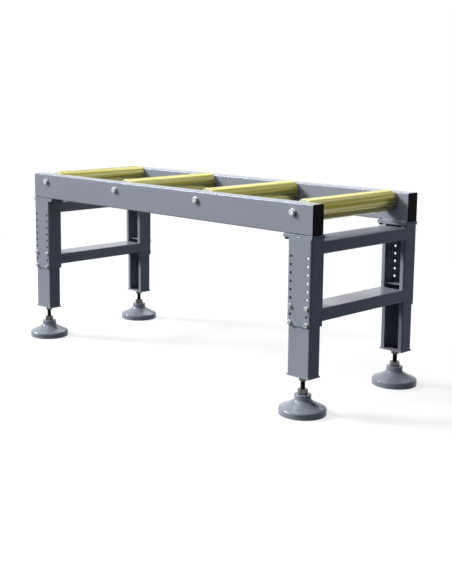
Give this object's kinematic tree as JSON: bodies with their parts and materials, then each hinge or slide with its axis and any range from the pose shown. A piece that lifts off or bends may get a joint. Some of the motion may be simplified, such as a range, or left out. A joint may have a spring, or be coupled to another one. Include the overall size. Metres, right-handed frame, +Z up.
{
  "type": "roller conveyor",
  "caption": "Gravity roller conveyor: steel idlers between tube rails, on end frames with telescopic bolted legs and screw-adjusted levelling feet.",
  "frame": {"origin": "on the floor, midway between the four feet: the bottom centre of the box round the part", "axes": "+X along the rails, in the direction in which goods roll; +Y from the front rail to the back rail, along the rollers; +Z up"},
  "size_m": [1.557, 0.66, 0.6963],
  "materials": {
    "grey_paint": "semi-gloss powder coat",
    "yellow_passivated_steel": "zinc with yellow passivation, drawn tube",
    "zinc_plated_steel": "bright zinc",
    "bright_steel": "bright drawn steel",
    "black_steel": "blackened steel thread",
    "black_plastic": "moulded black plastic"
  },
  "bodies": {
    "frame": {"rail_front": "grey_paint", "end_cap_front_left": "black_plastic", "end_cap_front_right": "black_plastic", "rail_back": "grey_paint", "end_cap_back_left": "black_plastic", "end_cap_back_right": "black_plastic", "axle_1": "bright_steel", "axle_bolt_front_1": "zinc_plated_steel", "axle_bolt_back_1": "zinc_plated_steel", "axle_2": "bright_steel", "axle_bolt_front_2": "zinc_plated_steel", "axle_bolt_back_2": "zinc_plated_steel", "axle_3": "bright_steel", "axle_bolt_front_3": "zinc_plated_steel", "axle_bolt_back_3": "zinc_plated_steel", "axle_4": "bright_steel", "axle_bolt_front_4": "zinc_plated_steel", "axle_bolt_back_4": "zinc_plated_steel", "outer_leg_front_left": "grey_paint", "outer_leg_front_right": "grey_paint", "outer_leg_back_left": "grey_paint", "outer_leg_back_right": "grey_paint", "crossbar_top_left": "grey_paint", "crossbar_top_right": "grey_paint", "crossbar_middle_left": "grey_paint", "crossbar_middle_right": "grey_paint"},
    "roller_1": {"roller_tube_1": "yellow_passivated_steel", "bearing_cap_front_1": "yellow_passivated_steel", "bearing_cap_back_1": "yellow_passivated_steel"},
    "roller_2": {"roller_tube_2": "yellow_passivated_steel", "bearing_cap_front_2": "yellow_passivated_steel", "bearing_cap_back_2": "yellow_passivated_steel"},
    "roller_3": {"roller_tube_3": "yellow_passivated_steel", "bearing_cap_front_3": "yellow_passivated_steel", "bearing_cap_back_3": "yellow_passivated_steel"},
    "roller_4": {"roller_tube_4": "yellow_passivated_steel", "bearing_cap_front_4": "yellow_passivated_steel", "bearing_cap_back_4": "yellow_passivated_steel"},
    "leg_front_left": {"inner_leg_front_left": "grey_paint", "weld_nut_front_left": "bright_steel"},
    "foot_front_left": {"foot_pad_front_left": "grey_paint"},
    "stud_front_left": {"foot_stud_front_left": "black_steel"},
    "leg_front_right": {"inner_leg_front_right": "grey_paint", "weld_nut_front_right": "bright_steel"},
    "foot_front_right": {"foot_pad_front_right": "grey_paint"},
    "stud_front_right": {"foot_stud_front_right": "black_steel"},
    "leg_back_left": {"inner_leg_back_left": "grey_paint", "weld_nut_back_left": "bright_steel"},
    "foot_back_left": {"foot_pad_back_left": "grey_paint"},
    "stud_back_left": {"foot_stud_back_left": "black_steel"},
    "leg_back_right": {"inner_leg_back_right": "grey_paint", "weld_nut_back_right": "bright_steel"},
    "foot_back_right": {"foot_pad_back_right": "grey_paint"},
    "stud_back_right": {"foot_stud_back_right": "black_steel"}
  },
  "joints": [
    {"name": "roller_1_spin", "type": "hinge", "parent": "frame", "child": "roller_1", "pos_m": [-0.666, 0, 0.6583], "axis": [0, 1, 0], "continuous": true},
    {"name": "roller_2_spin", "type": "hinge", "parent": "frame", "child": "roller_2", "pos_m": [-0.222, 0, 0.6583], "axis": [0, 1, 0], "continuous": true},
    {"name": "roller_3_spin", "type": "hinge", "parent": "frame", "child": "roller_3", "pos_m": [0.222, 0, 0.6583], "axis": [0, 1, 0], "continuous": true},
    {"name": "roller_4_spin", "type": "hinge", "parent": "frame", "child": "roller_4", "pos_m": [0.666, 0, 0.6583], "axis": [0, 1, 0], "continuous": true},
    {"name": "leg_front_left_slide", "type": "slide", "parent": "frame", "child": "leg_front_left", "axis": [0, 0, 1], "range_m": [0, 0.162]},
    {"name": "foot_front_left_height", "type": "slide", "parent": "leg_front_left", "child": "foot_front_left", "axis": [0, 0, 1], "range_m": [-0.012, 0.026]},
    {"name": "stud_front_left_turn", "type": "hinge", "parent": "foot_front_left", "child": "stud_front_left", "pos_m": [-0.6995, -0.251, 0.0743], "axis": [0, 0, 1], "range_deg": [-2160, 4680]},
    {"name": "leg_front_right_slide", "type": "slide", "parent": "frame", "child": "leg_front_right", "axis": [0, 0, 1], "range_m": [0, 0.162]},
    {"name": "foot_front_right_height", "type": "slide", "parent": "leg_front_right", "child": "foot_front_right", "axis": [0, 0, 1], "range_m": [-0.012, 0.026]},
    {"name": "stud_front_right_turn", "type": "hinge", "parent": "foot_front_right", "child": "stud_front_right", "pos_m": [0.6995, -0.251, 0.0743], "axis": [0, 0, 1], "range_deg": [-2160, 4680]},
    {"name": "leg_back_left_slide", "type": "slide", "parent": "frame", "child": "leg_back_left", "axis": [0, 0, 1], "range_m": [0, 0.162]},
    {"name": "foot_back_left_height", "type": "slide", "parent": "leg_back_left", "child": "foot_back_left", "axis": [0, 0, 1], "range_m": [-0.012, 0.026]},
    {"name": "stud_back_left_turn", "type": "hinge", "parent": "foot_back_left", "child": "stud_back_left", "pos_m": [-0.6995, 0.251, 0.0743], "axis": [0, 0, 1], "range_deg": [-2160, 4680]},
    {"name": "leg_back_right_slide", "type": "slide", "parent": "frame", "child": "leg_back_right", "axis": [0, 0, 1], "range_m": [0, 0.162]},
    {"name": "foot_back_right_height", "type": "slide", "parent": "leg_back_right", "child": "foot_back_right", "axis": [0, 0, 1], "range_m": [-0.012, 0.026]},
    {"name": "stud_back_right_turn", "type": "hinge", "parent": "foot_back_right", "child": "stud_back_right", "pos_m": [0.6995, 0.251, 0.0743], "axis": [0, 0, 1], "range_deg": [-2160, 4680]}
  ],
  "couplings": [
    {"joint": "stud_front_left_turn", "follows": "foot_front_left_height", "rad_per_m": 3141.6},
    {"joint": "stud_front_right_turn", "follows": "foot_front_right_height", "rad_per_m": 3141.6},
    {"joint": "stud_back_left_turn", "follows": "foot_back_left_height", "rad_per_m": 3141.6},
    {"joint": "stud_back_right_turn", "follows": "foot_back_right_height", "rad_per_m": 3141.6}
  ]
}
